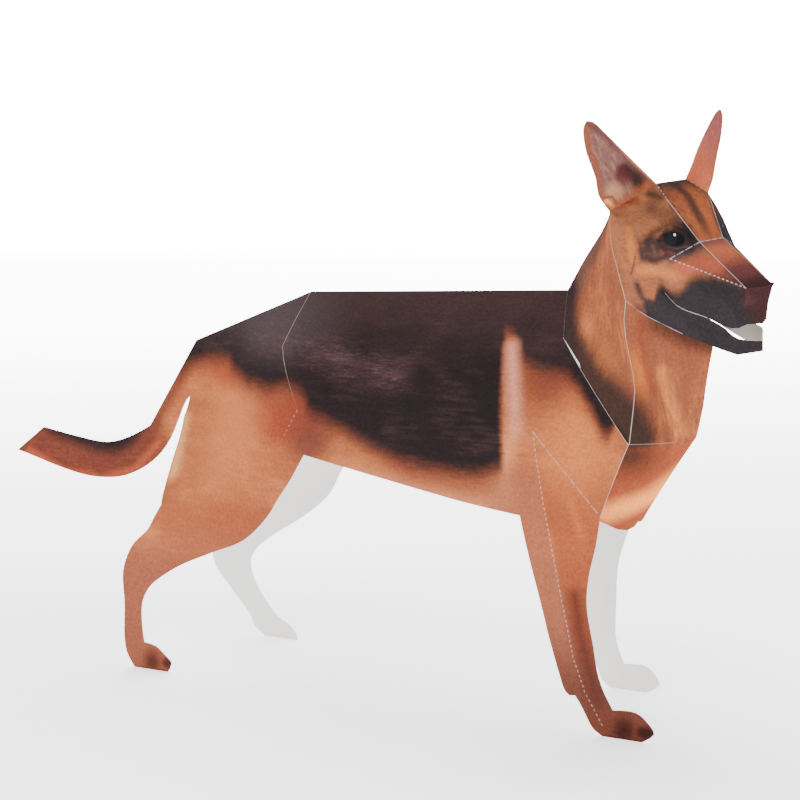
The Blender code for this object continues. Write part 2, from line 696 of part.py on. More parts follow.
def main():
    for old in list(bpy.data.objects):
        bpy.data.objects.remove(old, do_unlink=True)
    surface = folded_sheet()
    bmesh.ops.scale(surface, vec=(METRES,) * 3, verts=surface.verts)
    mesh = bpy.data.meshes.new("folded_card_dog")
    surface.to_mesh(mesh)
    surface.free()
    mesh.materials.append(card_material())
    dog = bpy.data.objects.new("folded_card_dog", mesh)
    bpy.context.scene.collection.objects.link(dog)
    thickness = dog.modifiers.new("card_thickness", "SOLIDIFY")
    thickness.thickness = CARD * METRES
    thickness.offset = -1.0
    thickness.use_even_offset = True
    thickness.thickness_clamp = 1.0


main()
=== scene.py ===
"""Dresses the folded card dog: the printed coat, the bare inside of the card and a plain stage."""

import math

import bmesh
import bpy
from bpy.props import FloatProperty, FloatVectorProperty, PointerProperty
from bpy.types import Operator, Panel, PropertyGroup
from mathutils import Matrix, Vector


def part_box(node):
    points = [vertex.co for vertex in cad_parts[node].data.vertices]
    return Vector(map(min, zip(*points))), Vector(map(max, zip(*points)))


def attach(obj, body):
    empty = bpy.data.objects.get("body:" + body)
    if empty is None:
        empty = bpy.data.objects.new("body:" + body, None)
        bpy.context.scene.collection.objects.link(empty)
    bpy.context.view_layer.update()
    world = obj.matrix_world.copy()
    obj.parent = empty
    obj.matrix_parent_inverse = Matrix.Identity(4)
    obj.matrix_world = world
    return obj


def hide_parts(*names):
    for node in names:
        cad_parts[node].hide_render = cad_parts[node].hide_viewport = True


bl_info = {
    "name": "Folded card dog",
    "version": (1, 0, 0),
    "blender": (4, 5, 0),
    "location": "View3D > Sidebar > Card Dog",
    "description": "Prints a shepherd's coat on a dog folded from one sheet of card",
    "category": "Object",
}

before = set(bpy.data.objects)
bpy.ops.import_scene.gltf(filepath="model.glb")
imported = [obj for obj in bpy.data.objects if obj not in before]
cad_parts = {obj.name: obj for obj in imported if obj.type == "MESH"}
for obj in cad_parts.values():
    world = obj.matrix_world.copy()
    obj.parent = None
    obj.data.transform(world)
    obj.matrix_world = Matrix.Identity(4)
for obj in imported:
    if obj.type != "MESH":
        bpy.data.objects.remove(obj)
NODE = "folded_card_dog"
LOW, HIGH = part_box(NODE)
MM = 1000.0

# Where the pattern's own measure starts: the withers stand above 78.5, the tail ends at -142.4, and
# the far flank is 34.45 wide
TAIL_END = -142.4
FAR_FLANK = 34.45
SHIFT = Vector((TAIL_END - LOW.x * MM, FAR_FLANK - HIGH.y * MM, 0.0))

# The head, turned about its centre
HEAD_CENTRE = Vector((97.0, 0.0, 154.0))
HEAD_TURN = math.radians(22.0)
HEAD_TILT = math.radians(4.0)
WITHERS = (78.5, 140.0)
SHOULDER_POINT = (106.7, 95.4)
TURN_START = 8.0
TURN_SPAN = 16.0

# How far the far legs stand from the near ones at the foot, and the heights where each step begins
FORE_STEP = 11.0
HIND_STEP = 25.0
FORE_TOP = 75.0
HIND_TOP = 50.0
FAR_SIDE = 5.0
FORE_FROM = 50.0
TAIL_TO = -80.0

# A panel that reaches behind the first place is coat, one ahead of the second is face, and one whose
# middle is above the third is an ear
COAT_BEHIND = 60.0
HEAD_AHEAD = 140.0
EAR_ABOVE = 174.0

# Lines of the pattern in its side view, across and up, in millimetres
BEND_FOOT = (81.2, 126.0)
SHOULDER_FOOT = (98.9, 72.5)
HIP_SEAM = [(-14.8, 136.0), (-18.3, 118.5), (-6.1, 100.2), (-1.0, 85.3)]
THIGH_DOTS = [(-5.6, 99.2), (-12.0, 84.0), (-19.0, 66.0)]
LEG_DOTS = [(76.8, 97.8), (79.7, 84.1), (83.2, 64.9), (86.8, 42.7), (90.0, 24.9), (93.9, 13.8), (100.2, 3.0)]
SHOULDER_DASHES = [(76.8, 97.8), (87.9, 85.4), (98.0, 73.6)]
JAW_CORNER = (108.5, 14.5, 139.9)
NECK_TOP = (101.4, 13.0, 165.2)
NECK_CREASE = [NECK_TOP, (103.1, 14.0, 156.3), (105.7, 14.5, 149.1), JAW_CORNER]
NAPE = (91.8, 165.0)
CROWN_BACK = (115.6, 7.5, 175.6)
CROWN = (121.8, 10.5, 171.2)
BROW = (130.3, 6.0, 158.2)
MUZZLE_END = (146.8, 6.5, 145.5)
CHEEK_APEX = (127.3, 16.7, 154.3)

# The ears, each in its own plane: the outer end of its base, its inner end and its tip
EAR_NEAR = (Vector((107.4, -20.0, 168.0)), Vector((115.6, -7.5, 175.6)), Vector((110.0, -31.0, 195.8)))
EAR_FAR = (Vector((112.0, 23.0, 168.0)), Vector((115.6, 7.5, 175.6)), Vector((114.3, 30.0, 195.8)))

# How a printed ink shows in the view: its levels are raised to a power and drawn towards their grey, a
# curve turns them into light, and the light's colour is spread out again
LIGHT = 2.42
GREY = Vector((0.13, 0.47, 0.4))
LEVEL_POWER = 2.7
DRAINED = 0.7
LIFT = 0.34
LIFT_POWER = 0.51
STEEPNESS = 3.0
REGAINED = 2.6
DARKEST, LIGHTEST = 0.003, 0.9

# The stage, in metres and watts: lamps with their place, side and power, and the camera's place
BARE_CARD = (0.74, 0.725, 0.71)
# The cut rim is painted darker than the bare card, as painted shade along the edge
SHADED_CUT_EDGE = (0.5, 0.48, 0.46)
MOUTH_SHADE = (0.36, 0.31, 0.27, 1.0)
WHITE = (0.96, 0.96, 0.96, 1.0)
ROOM_LIGHT = 1.05
FLOOR_GLOW = 10.0
LAMPS = [("key", (-0.5, 0.45, 1.05), 0.9, 19.0), ("fill", (-0.3, -0.95, 0.6), 0.9, 9.0)]
LAMP_AIM = Vector((0.0, 0.0, 0.08))
# Place and radii of the painted shadow pool on the floor
SHADOW_POOL_PLACE = (-0.02, -0.03)
SHADOW_POOL_RADII = (0.22, 0.12)
CAMERA_PLACE = Vector((240.0, -494.06, 187.6))
CAMERA_TURN = math.radians(24.11)
CAMERA_DIP = math.radians(9.19)

OUTSIDE, INSIDE, RIM = range(3)
COAT, NECK, HEAD, EAR, BARE, CUT = range(6)


def ink(red, green, blue):
    """A printed colour from the three levels it is to show under the stage's lights."""
    shown = Vector([(level / 255.0) ** LEVEL_POWER for level in (red, green, blue)])
    shown = shown.lerp(Vector.Fill(3, shown.dot(GREY)), DRAINED)
    lit = Vector([LIFT * level ** LIFT_POWER * math.exp(STEEPNESS * level) for level in shown])
    lit = lit + (lit - Vector.Fill(3, lit.dot(GREY))) * REGAINED
    return (*(min(max(level / LIGHT, DARKEST), LIGHTEST) for level in lit), 1.0)


LINE = ink(188, 180, 176)


def colour(name, about, level):
    return FloatVectorProperty(name=name, description=about, subtype="COLOR", size=4, min=0.0, max=1.0,
                               default=ink(*level))


class CoatInks(PropertyGroup):
    """The inks of the printed coat."""
    tan: colour("Tan", "Shoulder, thigh and belly", (188, 124, 92))
    light: colour("Light tan", "Highlights of the tan coat", (210, 156, 122))
    orange: colour("Orange", "Front of the legs and the neck", (186, 108, 76))
    rust: colour("Rust", "Where the tan meets the saddle", (142, 80, 62))
    leg: colour("Leg", "Lower legs", (174, 114, 94))
    saddle: colour("Saddle", "The dark back", (50, 40, 42))
    # The sheen on the back is a painted highlight, broken by paler hairs
    sheen_highlight: colour("Painted sheen", "Painted highlight and paler hairs on the back", (152, 118, 122))
    stripe: colour("Shoulder stripe", "Pale hairs behind the shoulder", (210, 170, 156))
    claw: colour("Claws", "Toes and claws", (52, 28, 32))


class FaceInks(PropertyGroup):
    """The inks of the head and the ears."""
    cheek: colour("Cheek", "Cheeks and forehead", (174, 122, 93))
    mask: colour("Mask", "Round the eyes and the mouth", (58, 54, 58))
    snout: colour("Snout", "Top of the muzzle", (202, 136, 112))
    nose: colour("Nose", "Pad of the nose", (78, 48, 48))
    eye: colour("Eye", "The eye itself", (34, 33, 35))
    ear: colour("Ear", "Hollow of the ear", (156, 120, 112))
    line: colour("Crease", "Printed and scored lines", (192, 188, 188))


class CardSizes(PropertyGroup):
    """Sizes of the printed lines and of the stage."""
    crease: FloatProperty(name="Crease", description="Width of a scored line in millimetres",
                          default=0.28, min=0.1, max=2.0)
    dash: FloatProperty(name="Dash", description="Pitch of the dashed fold marks in millimetres",
                        default=1.7, min=0.5, max=6.0)
    floor: FloatProperty(name="Floor", description="Half the side of the floor", default=3.0, min=0.5,
                         unit="LENGTH")
    lens: FloatProperty(name="Lens", description="Focal length of the camera in millimetres",
                        default=72.0, min=10.0)


class Value:
    """A number or a colour inside a material, on which sums can be written plainly."""

    def __init__(self, finish, socket):
        self.finish = finish
        self.socket = socket

    def _sum(self, operation, a, b):
        return self.finish.sum(operation, a, b)

    def __add__(self, other):
        return self._sum("ADD", self, other)

    __radd__ = __add__

    def __sub__(self, other):
        return self._sum("SUBTRACT", self, other)

    def __rsub__(self, other):
        return self._sum("SUBTRACT", other, self)

    def __mul__(self, other):
        return self._sum("MULTIPLY", self, other)

    __rmul__ = __mul__

    def __truediv__(self, other):
        return self._sum("DIVIDE", self, other)

    def least(self, other):
        return self._sum("MINIMUM", self, other)

    def most(self, other):
        return self._sum("MAXIMUM", self, other)


class Finish:
    """A material and the marks that are printed on it."""

    def __init__(self, name, roughness, sheen=0.0):
        self.material = bpy.data.materials.new(name)
        self.material.use_nodes = True
        self.tree = self.material.node_tree
        self.shader = self.tree.nodes["Principled BSDF"]
        self.shader.inputs["Roughness"].default_value = roughness
        self.shader.inputs["Specular IOR Level"].default_value = sheen

    def node(self, kind, settings=None, sockets=None):
        """A node of a kind, its settings first and then the values or links of its sockets."""
        made = self.tree.nodes.new(kind)
        for key, value in (settings or {}).items():
            setattr(made, key, value)
        for key, value in (sockets or {}).items():
            self.join(value, made.inputs[key])
        return made

    def join(self, value, socket):
        if isinstance(value, Value):
            self.tree.links.new(value.socket, socket)
        else:
            socket.default_value = value

    def sum(self, operation, a, b=0.0):
        made = self.node("ShaderNodeMath", {"operation": operation}, {0: a, 1: b})
        return Value(self, made.outputs[0])

    def vector(self, operation, a, b=(0.0, 0.0, 0.0), c=None):
        sockets = {0: a, 1: b}
        if c is not None:
            sockets[2] = c
        made = self.node("ShaderNodeVectorMath", {"operation": operation}, sockets)
        return Value(self, made.outputs["Value" if operation in ("LENGTH", "DOT_PRODUCT") else "Vector"])

    def place(self, name):
        """The three numbers that the sheet carries under a name, as a vector."""
        made = self.node("ShaderNodeAttribute", {"attribute_name": name, "attribute_type": "GEOMETRY"})
        return Value(self, made.outputs["Vector"])

    def parts(self, vector):
        made = self.node("ShaderNodeSeparateXYZ", None, {0: vector})
        return [Value(self, output) for output in made.outputs]

    def point(self, x, y, z=0.0):
        made = self.node("ShaderNodeCombineXYZ", None, {0: x, 1: y, 2: z})
        return Value(self, made.outputs[0])

    def rise(self, value, low, high):
        """A soft step from 0 at low to 1 at high."""
        made = self.node("ShaderNodeMapRange", {"interpolation_type": "SMOOTHSTEP"},
                         {"Value": value, "From Min": low, "From Max": high})
        return Value(self, made.outputs["Result"])

    def noise(self, vector, stretch, detail=4.0, rough=0.6):
        """Cloudy noise about 0, between about -0.5 and 0.5, with cells of the given sizes."""
        scaled = self.vector("MULTIPLY", vector, tuple(1.0 / size for size in stretch))
        made = self.node("ShaderNodeTexNoise", {"noise_dimensions": "3D"},
                         {"Vector": scaled, "Scale": 1.0, "Detail": detail, "Roughness": rough})
        return Value(self, made.outputs["Fac"]) - 0.5

    def mix(self, under, over, share, label=""):
        made = self.node("ShaderNodeMix", {"data_type": "RGBA", "clamp_factor": True, "label": label},
                         {"Factor": share, 6: under, 7: over})
        return Value(self, made.outputs[2])

    def curve(self, value, points, low, high):
        """A height that follows a curve through points as value goes from low to high."""
        tall = 200.0
        made = self.node("ShaderNodeFloatCurve")
        line = made.mapping.curves[0]
        ends = [line.points[0], line.points[1]]
        for across, up in points[1:-1]:
            line.points.new((across - low) / (high - low), up / tall)
        for end, (across, up) in zip(ends, (points[0], points[-1])):
            end.location = ((across - low) / (high - low), up / tall)
        for point in line.points:
            point.handle_type = "AUTO_CLAMPED"
        made.mapping.update()
        self.join((value - low) / (high - low), made.inputs["Value"])
        return Value(self, made.outputs["Value"]) * tall

    def off_run(self, place, start, end):
        """How far a place is from a straight run, and how far along it lies, from 0 to 1."""
        start, end = (Vector((*point, 0.0)[:3]) for point in (start, end))
        way = end - start
        back = self.vector("SUBTRACT", tuple(start), place)
        share = self.vector("DOT_PRODUCT", back, tuple(-way / way.length_squared))
        share = share.most(0.0).least(1.0)
        spread = self.point(share, share, share)
        offset = self.vector("MULTIPLY_ADD", tuple(way), spread, back)
        return self.vector("LENGTH", offset), share

    def off_line(self, place, points):
        """How far a place is from a line of straight runs."""
        nearest = None
        for start, end in zip(points, points[1:]):
            away, _ = self.off_run(place, start, end)
            nearest = away if nearest is None else nearest.least(away)
        return nearest

    def stroke(self, place, points, half, soft):
        """1 along a line, fading to 0 beyond its half width."""
        return 1.0 - self.rise(self.off_line(place, points), half - soft / 2.0, half + soft / 2.0)

    def spot(self, place, centre, radii, soft=0.5):
        """1 inside an ellipse, fading to 0 at its edge and beyond."""
        offset = self.vector("SUBTRACT", place, (*centre, 0.0))
        away = self.vector("LENGTH", self.vector("MULTIPLY", offset, (1.0 / radii[0], 1.0 / radii[1], 0.0)))
        return 1.0 - self.rise(away, 1.0 - soft, 1.0 + soft)

    def marks(self, base, place, table):
        """Lay a table's spots and strokes on a colour, in their order."""
        for label, level, shape, size, soft, share in table:
            draw = self.spot if isinstance(size, tuple) else self.stroke
            base = self.mix(base, ink(*level), draw(place, shape, size, soft) * share, label)
        return base

    def dashes(self, place, points, width, pitch, filled, dot=False):
        """Marks along a line: each pitch holds a dash, and a dot in its gap where asked."""
        total = None
        run = 0.0
        for start, end in zip(points, points[1:]):
            length = math.dist(start, end)
            away, share = self.off_run(place, start, end)
            phase = self.sum("FRACT", (share * length + run) / pitch)
            lit = 1.0 - self.rise(phase, filled - 0.06, filled + 0.06)
            if dot:
                lit = lit.most(1.0 - self.rise(self.sum("ABSOLUTE", phase - 0.86), 0.04, 0.1))
            lit = lit * (1.0 - self.rise(away, width * 0.35, width * 0.75))
            total = lit if total is None else total.most(lit)
            run += length
        return total

    def paint(self, base, height, bump, grain=0.0):
        """Put a colour on the shader, with a fine grain in it, and a height as a faint relief."""
        if grain:
            fleck = self.noise(self.place("pattern"), (0.9, 0.9, 0.9), 3.0, 0.7) * grain + 1.0
            base = self.vector("MULTIPLY", base, self.point(fleck, fleck, fleck))
        self.join(base, self.shader.inputs["Base Color"])
        made = self.node("ShaderNodeBump", None, {"Strength": bump, "Distance": 0.001, "Height": height})
        self.tree.links.new(made.outputs["Normal"], self.shader.inputs["Normal"])


def side_view(finish):
    """The place on the pattern, how far along and how high it lies, and both as a side view."""
    pattern = finish.place("pattern")
    x, _, z = finish.parts(pattern)
    flat = finish.point(x, z)
    return pattern, x, z, flat


def fur(finish, pattern, long, thin):
    """Hairs that lie along the body: broad patches, streaks and fine hairs."""
    broad = finish.noise(pattern, (22.0, 22.0, 12.0), 2.0)
    streak = finish.noise(pattern, (long, 5.0, thin), 4.0, 0.65)
    hair = finish.noise(pattern, (long * 0.3, 2.0, thin * 0.28), 3.0, 0.7)
    return broad, streak, hair


# Marks of the print: what each is, its ink, the centre of a spot or the line of a stroke, the radii or
# the half width, its softness and how thick it is laid
THIGH_MARKS = [
    ("red above the hock", (176, 104, 78), (-26.0, 60.0), (16.0, 8.0), 0.7, 0.6),
    ("orange under the saddle", (180, 92, 64), (-47.0, 107.0), (12.0, 5.0), 0.7, 0.7),
    ("red by the hip seam", (172, 82, 60), (-7.0, 96.5), (13.0, 9.0), 0.8, 0.85),
    # The pale hind edge of the thigh is a painted highlight where the card curves in
    ("painted highlight on the hind edge", (228, 200, 172), [(-65.0, 88.0), (-62.5, 80.0), (-59.0, 72.0)], 0.5, 9.0, 0.75),
    ("dark back of the hock", (110, 62, 50), [(-76.0, 52.0), (-80.6, 44.0)], 0.2, 2.6, 0.7),
]
FLANK_MARKS = [
    # A paler band along the belly edge is a painted highlight where the card curls under
    ("painted highlight along the belly", (204, 162, 140), [(16.0, 80.5), (45.0, 75.5), (70.0, 73.0)], 2.5, 8.0, 0.7),
    ("dark before the hip seam", (136, 80, 70), (1.0, 90.0), (7.0, 7.0), 0.8, 0.8),
    ("light shoulder", (214, 156, 118), (91.0, 93.0), (9.0, 14.0), 0.8, 0.7),
    ("rust under the withers", (150, 84, 62), (78.0, 113.0), (8.0, 7.0), 0.8, 0.8),
    ("light behind the elbow", (214, 172, 146), [(70.6, 98.0), (68.4, 84.0), (70.0, 76.0)], 1.5, 8.0, 0.7),
]
FORELEG_MARKS = [
    ("light forearm", (206, 146, 104), [(89.6, 77.0), (93.0, 66.0)], 0.6, 5.0, 0.8),
    ("dark shin", (96, 50, 44), [(90.8, 46.0), (92.4, 33.0), (94.6, 24.0), (98.6, 12.0)], 2.0, 8.0, 0.9),
]
UNDER_TAIL = [(-137.0, 70.0), (-121.0, 63.5), (-104.0, 62.0), (-89.0, 67.0), (-78.0, 78.0)]
TAIL_ROOT = ("brown root of the tail", (124, 66, 52), [(-79.0, 86.0), (-66.0, 106.0)], 2.0, 6.0, 0.7)
LEG_APART = -174.0
LEG_LEAN = 0.19

# The saddle's lower edge, its front edge over the shoulder, its painted sheen and the pale stripe ahead
SADDLE_EDGE = [
    (-145.0, 94.0), (-137.0, 86.0), (-128.0, 78.0), (-116.0, 74.0), (-101.0, 71.5), (-91.0, 75.0),
    (-84.0, 83.0), (-78.0, 92.5), (-72.0, 101.5), (-65.5, 106.8), (-59.2, 109.1), (-47.2, 110.8),
    (-41.7, 107.5), (-32.3, 104.5), (-20.2, 104.1), (-11.9, 105.8), (-4.4, 102.9), (-0.8, 98.4),
    (7.2, 95.5), (16.5, 91.7), (25.5, 88.3), (36.1, 85.0), (45.6, 83.9), (56.8, 83.2), (72.0, 84.4),
]
WITHERS_EDGE = [
    (40.0, 128.0), (58.0, 127.0), (64.5, 125.5), (69.0, 119.5), (74.6, 116.3), (84.5, 114.8),
    (88.1, 112.0), (93.9, 105.0), (99.7, 97.8), (108.0, 90.0),
]
# Line of the painted sheen: a highlight along the rounded back
SHEEN_LINE = [(-34.0, 121.0), (-18.0, 120.5), (0.0, 117.5), (14.0, 114.0), (28.0, 112.0)]
STRIPE_LINE = [(65.2, 122.5), (67.2, 115.5), (69.6, 107.0), (71.2, 98.0)]


def coat_finish(inks, sizes):
    """The coat of the body, the legs and the tail."""
    finish = Finish("printed_coat", 0.5)
    pattern, x, z, flat = side_view(finish)
    broad, streak, hair = fur(finish, pattern, 9.0, 1.5)
    ragged = streak * 5.0 + hair * 3.0

    # The tan coat, paler in patches and redder down the legs
    base = finish.mix(tuple(inks.tan), tuple(inks.light), finish.rise(broad + streak * 0.6, -0.15, 0.4) * 0.8)
    base = finish.mix(base, tuple(inks.orange), finish.rise(hair + streak, 0.0, 0.5) * 0.45)
    low = finish.rise(z + ragged, 62.0, 34.0)
    base = finish.mix(base, tuple(inks.leg), low * 0.9)
    base = finish.mix(base, tuple(inks.light), finish.spot(flat, (-38.0, 86.0), (15.0, 20.0), 0.9) * 0.55)
    base = finish.marks(base, flat, THIGH_MARKS)
    base = finish.marks(base, flat, FLANK_MARKS)

    # The front leg: pale behind its dotted fold, orange before it, and dark down the shin
    in_front = finish.rise(x, 60.0, 70.0)
    fold = x - LEG_DOTS[0][0] + (z - LEG_DOTS[0][1]) * LEG_LEAN
    behind = finish.rise(fold, 1.0, -1.0) * finish.rise(z, 92.0, 78.0) * in_front
    base = finish.mix(base, ink(184, 128, 106), behind * 0.75)
    ahead = finish.rise(fold, 0.0, 1.7) * finish.rise(z, 88.0, 70.0)
    base = finish.mix(base, tuple(inks.orange), ahead * 0.6)
    base = finish.marks(base, flat, FORELEG_MARKS)
    base = finish.mix(base, ink(118, 70, 60), finish.rise(z, 40.0, 12.0) * in_front * 0.75)
    for back, share in ((0.0, 1.0), (LEG_APART, 0.92)):
        toes = finish.spot(flat, (107.0 + back, 3.0), (3.2, 4.0), 0.8) * 0.9
        toes = toes.most(finish.spot(flat, (114.0 + back, 3.2), (3.0, 2.2), 0.6))
        toes = toes.most(finish.stroke(flat, [(102.6 + back, 0.4), (114.4 + back, 0.6)], 0.2, 2.0))
        base = finish.mix(base, tuple(inks.claw), toes * share * 0.85)

    # The tail, reddish and darker than the thigh
    tail = finish.rise(x + (z - 90.0) * 0.5, -74.0, -86.0) * finish.rise(z, 54.0, 60.0)
    russet = finish.mix(ink(122, 62, 52), ink(160, 88, 68), finish.rise(hair + streak, -0.1, 0.4))
    base = finish.mix(base, russet, tail * 0.9)
    under_tail = finish.stroke(flat, UNDER_TAIL, 1.2, 4.0)
    base = finish.mix(base, ink(196, 118, 88), under_tail * tail * 0.8)
    base = finish.marks(base, flat, [TAIL_ROOT])

    # The saddle, dark above a ragged edge, with a rusty border and a painted sheen along the back
    edge = finish.curve(x, SADDLE_EDGE, SADDLE_EDGE[0][0], WITHERS_EDGE[-1][0])
    edge_ahead = finish.curve(x, WITHERS_EDGE, WITHERS_EDGE[0][0], WITHERS_EDGE[-1][0])
    fringe = ragged * 0.8
    above = z - edge + fringe
    front = finish.rise(x + (z - 90.0) * 0.16 + fringe * 0.4, 69.4, 66.4)
    rear = finish.rise(above, -3.5, 4.5) * front
    withers = finish.rise(x, 46.0, 52.0)
    above_ahead = z - edge_ahead + fringe
    ahead = finish.rise(above_ahead, -2.5, 3.5) * withers
    rusty = finish.rise(above, -8.0, 2.0) * front
    rusty = rusty.most(finish.rise(above_ahead, -6.0, 1.0) * withers)
    base = finish.mix(base, tuple(inks.rust), rusty * 0.75)
    dark = finish.mix(tuple(inks.saddle), ink(80, 60, 58), finish.rise(streak + broad, -0.05, 0.45))
    dark = finish.mix(dark, ink(46, 42, 46), finish.rise(hair - streak, 0.1, 0.5) * 0.7)
    # Painted highlight along the top of the back: the saddle lighter towards the top and a sheen over it,
    # broken by paler hairs
    dark = finish.mix(dark, ink(92, 68, 66), finish.rise(z + broad * 20.0, 112.0, 136.0) * 0.6)
    sheen_highlight = finish.stroke(flat, SHEEN_LINE, 1.0, 17.0)
    dark = finish.mix(dark, ink(112, 82, 86), sheen_highlight * finish.rise(broad + streak * 0.5, -0.45, 0.1) * 0.9)
    dark = finish.mix(dark, tuple(inks.sheen_highlight), sheen_highlight * finish.rise(hair + streak * 0.6, -0.08, 0.32) * 0.9)
    dark = finish.mix(dark, ink(102, 88, 92), finish.spot(flat, (-26.0, 127.0), (20.0, 11.0), 0.9) * 0.75)
    base = finish.mix(base, dark, rear.most(ahead))

    stripe = finish.stroke(flat, STRIPE_LINE, 1.6, 5.5)
    stripe = stripe * finish.rise(z + ragged, 86.0, 108.0)
    base = finish.mix(base, tuple(inks.stripe), stripe * finish.rise(hair + streak, -0.9, -0.1) * 0.95)

    # Scored and printed lines
    width = sizes.crease
    seam = finish.stroke(flat, HIP_SEAM, width * 0.4, width * 0.6)
    base = finish.mix(base, LINE, seam * finish.rise(z, 96.0, 116.0) * 0.45)
    rim = finish.stroke(flat, [BEND_FOOT, SHOULDER_POINT, SHOULDER_FOOT], width * 0.5, width * 0.6)
    base = finish.mix(base, LINE, rim * 0.8)
    dots = finish.dashes(flat, LEG_DOTS, width, sizes.dash, 0.5)
    base = finish.mix(base, LINE, dots * 0.7)
    dots = finish.dashes(flat, THIGH_DOTS, width, sizes.dash, 0.4)
    base = finish.mix(base, LINE, dots * finish.rise(z, 86.0, 96.0) * 0.5)
    dots = finish.dashes(flat, SHOULDER_DASHES, width, sizes.dash * 2.2, 0.6, True)
    base = finish.mix(base, LINE, dots * 0.6)
    finish.paint(base, hair + streak, 0.06, 0.9)
    return finish.material


NECK_MARKS = [
    ("light behind the nape", (206, 148, 114), (88.8, 126.0), (2.6, 7.0), 0.8, 0.8),
    ("light side", (196, 138, 100), (95.0, 119.0), (5.0, 5.0), 0.9, 0.6),
    ("light throat", (214, 152, 106), (110.5, 118.0), (3.0, 6.0), 0.9, 0.7),
]
LOW_NAPE = [WITHERS, (82.0, 124.0)]
NECK_BAND = [(85.0, 122.0), (92.0, 113.5), (98.0, 109.0), (104.5, 104.0), (108.0, 97.0)]
# Line of the painted highlight along the bib's lower edge
BIB_HIGHLIGHT = [(100.0, 73.0), (111.0, 76.0), (122.0, 85.0)]
CHEST_CREASE = [SHOULDER_POINT, (117.5, 94.7)]


def neck_finish(inks, sizes):
    """The coat of the neck, the throat and the bib."""
    finish = Finish("printed_neck", 0.5)
    pattern, x, z, flat = side_view(finish)
    broad = finish.noise(pattern, (8.0, 8.0, 20.0), 3.0)
    streak = finish.noise(pattern, (1.6, 2.4, 9.0), 4.0, 0.65)
    hair = finish.noise(pattern, (0.6, 0.9, 3.4), 3.0, 0.7)
    ragged = streak * 4.0 + hair * 2.0
    base = finish.mix(ink(172, 112, 84), ink(206, 150, 114), finish.rise(broad + streak, -0.1, 0.5) * 0.8)
    base = finish.mix(base, ink(158, 86, 60), finish.rise(streak - broad, 0.0, 0.5) * 0.75)

    # Dark along the nape and over the shoulder fold, paler between
    base = finish.marks(base, flat, NECK_MARKS)
    nape = finish.off_line(flat, [WITHERS, NAPE]) + ragged * 0.6
    base = finish.mix(base, ink(112, 84, 76), finish.rise(nape, 9.0, 2.5) * 0.85)
    low_nape = finish.off_line(flat, LOW_NAPE) + ragged * 0.5
    base = finish.mix(base, ink(58, 48, 50), finish.rise(low_nape, 8.0, 2.5) * 0.95)
    band = finish.rise(finish.off_line(flat, NECK_BAND) + ragged * 0.7, 10.0, 2.5)
    base = finish.mix(base, ink(72, 56, 52), band * 0.95)

    # The throat and the bib, with painted highlights where the card rounds over the front and a painted
    # shadow under the jaw
    # Painted highlight down the rounded front of the throat
    front_highlight = finish.stroke(flat, [(119.0, 118.0), (119.5, 98.0)], 1.0, 6.0)
    base = finish.mix(base, ink(224, 176, 138), front_highlight * finish.rise(streak, -0.3, 0.2) * 0.8)
    red = finish.stroke(flat, [(113.0, 134.0), (114.0, 112.0)], 0.6, 5.0)
    base = finish.mix(base, ink(160, 80, 54), red * 0.75)
    # Painted shadow on the throat under the jaw
    jaw_shadow = finish.rise(z + (x - JAW_CORNER[0]) * 0.5 + ragged, 131.0, 137.0)
    jaw_shadow = jaw_shadow * finish.rise(x, 112.0, 118.0)
    base = finish.mix(base, ink(92, 58, 50), jaw_shadow * 0.8)
    bib = finish.rise(z, 95.5, 92.0)
    base = finish.mix(base, ink(192, 112, 82), bib * finish.rise(broad + streak, -0.4, 0.1) * 0.8)
    shaded = finish.spot(flat, (107.0, 92.0), (6.0, 7.0), 0.9)
    base = finish.mix(base, ink(96, 62, 50), shaded * bib * 0.85)
    # Painted highlight along the rounded lower edge of the bib
    base = finish.mix(base, ink(234, 184, 150), bib * finish.stroke(flat, BIB_HIGHLIGHT, 3.0, 5.5) * 0.85)

    # Scored lines
    width = sizes.crease
    side_crease = side_points(NECK_CREASE)
    creases = finish.off_line(flat, [SHOULDER_POINT, side_crease[-1]])
    creases = creases.least(finish.off_line(flat, side_crease))
    creases = creases.least(finish.off_line(flat, [WITHERS, BEND_FOOT]) + 0.12)
    base = finish.mix(base, LINE, finish.rise(creases, width * 0.8, width * 0.25) * 0.8)
    base = finish.mix(base, LINE, finish.stroke(flat, CHEST_CREASE, width * 0.35, width * 0.5) * 0.55)
    finish.paint(base, hair + streak, 0.06, 0.9)
    return finish.material


# Marks of the face, each with a ragged edge
CHEEK_MARKS = [
    ("brown over the brow", (134, 88, 70), [(117.5, 168.4), (129.5, 165.0)], 2.6, 4.4, 0.8),
    ("rust by the ear", (156, 76, 44), [(106.4, 169.6), (111.5, 170.4)], 1.0, 3.0, 0.8),
    ("dark before the ear", (88, 66, 48), [(116.5, 173.0), (120.6, 172.0)], 1.2, 3.0, 0.85),
    ("light hind cheek", (206, 150, 98), [(109.0, 161.0), (109.8, 153.0)], 1.2, 3.2, 0.6),
    ("light cheek band", (202, 146, 108), [(112.6, 149.2), (121.0, 150.0), (128.0, 148.6)], 1.5, 2.4, 0.85),
    ("orange of the fold", (198, 124, 104), [(128.5, 151.2), (137.3, 153.0), (143.0, 151.6)], 2.4, 3.6, 0.95),
    ("plum end of the fold", (132, 84, 84), [(145.0, 151.0), (151.0, 148.4)], 2.2, 5.0, 0.9),
    ("grey of the fold", (98, 84, 96), [(124.3, 153.6), (131.9, 156.4), (136.4, 158.9)], 1.2, 3.4, 0.9),
]
BROW_SHADE = [(113.6, 157.6), (117.4, 160.6), (121.7, 163.2), (126.5, 164.4), (132.6, 162.6)]
UNDER_EYE = [(113.4, 155.0), (114.0, 153.4), (118.7, 152.8), (122.4, 154.2)]
